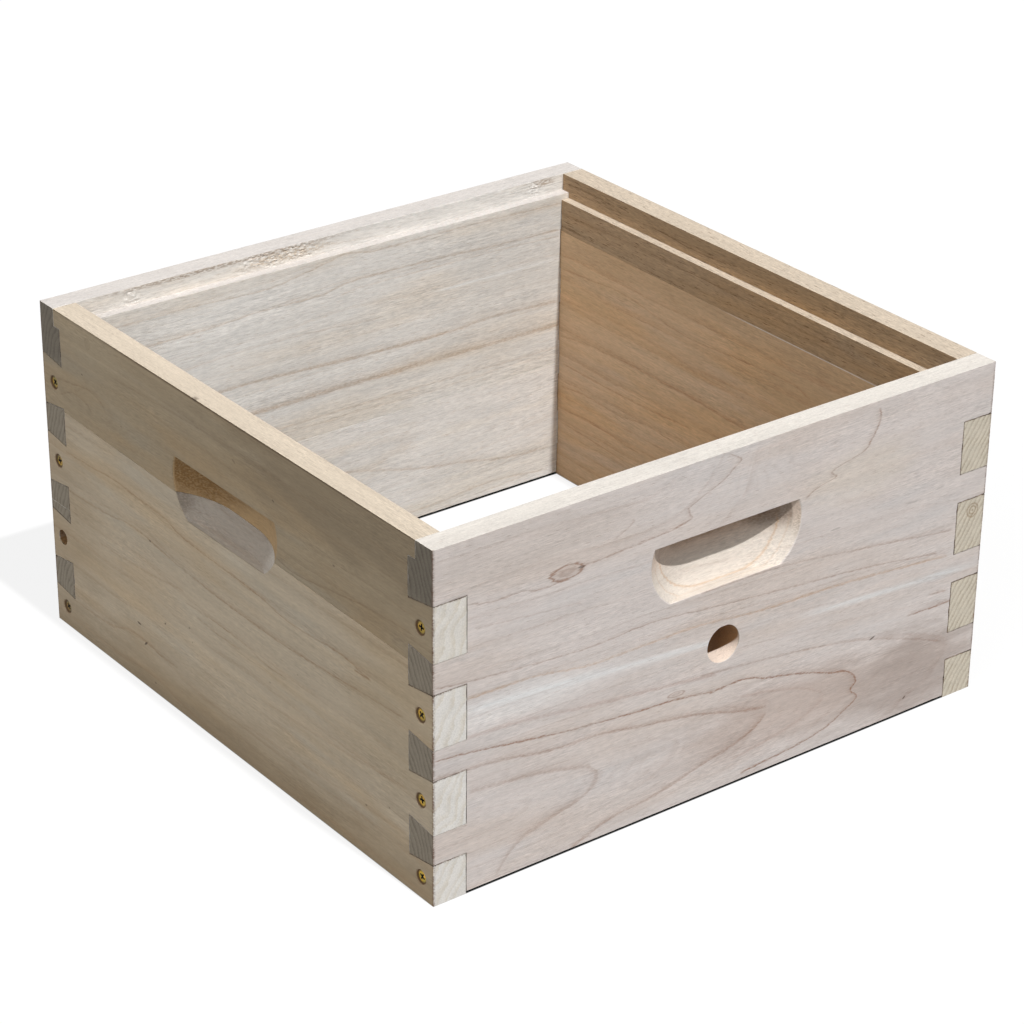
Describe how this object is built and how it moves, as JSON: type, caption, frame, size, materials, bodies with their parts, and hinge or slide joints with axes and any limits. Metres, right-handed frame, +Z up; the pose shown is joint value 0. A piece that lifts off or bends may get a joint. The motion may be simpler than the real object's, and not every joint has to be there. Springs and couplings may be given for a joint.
{
  "type": "hive box",
  "caption": "Square open wooden hive box with dovetailed, screwed corners, a round flight hole, finger recesses in the boards and rebated inner ledges that carry hanging frames.",
  "frame": {"origin": "middle of the foot, on the plane that the side boards stand on", "axes": "+Z up, -Y out of the front board with the flight hole, +X to the right seen from the front"},
  "size_m": [0.43, 0.43, 0.232],
  "materials": {
    "pale_plank": "planed, unfinished",
    "tan_plank": "planed, unfinished",
    "zinc_screw": "yellow zinc plated"
  },
  "bodies": {
    "root": {"front_board": "pale_plank", "rear_upper_plank": "pale_plank", "rear_lower_plank": "pale_plank", "left_upper_plank": "tan_plank", "left_lower_plank": "tan_plank", "right_upper_plank": "tan_plank", "right_lower_plank": "tan_plank", "screws_front_left": "zinc_screw", "screws_rear_left": "zinc_screw", "screws_front_right": "zinc_screw", "screws_rear_right": "zinc_screw"}
  },
  "joints": []
}
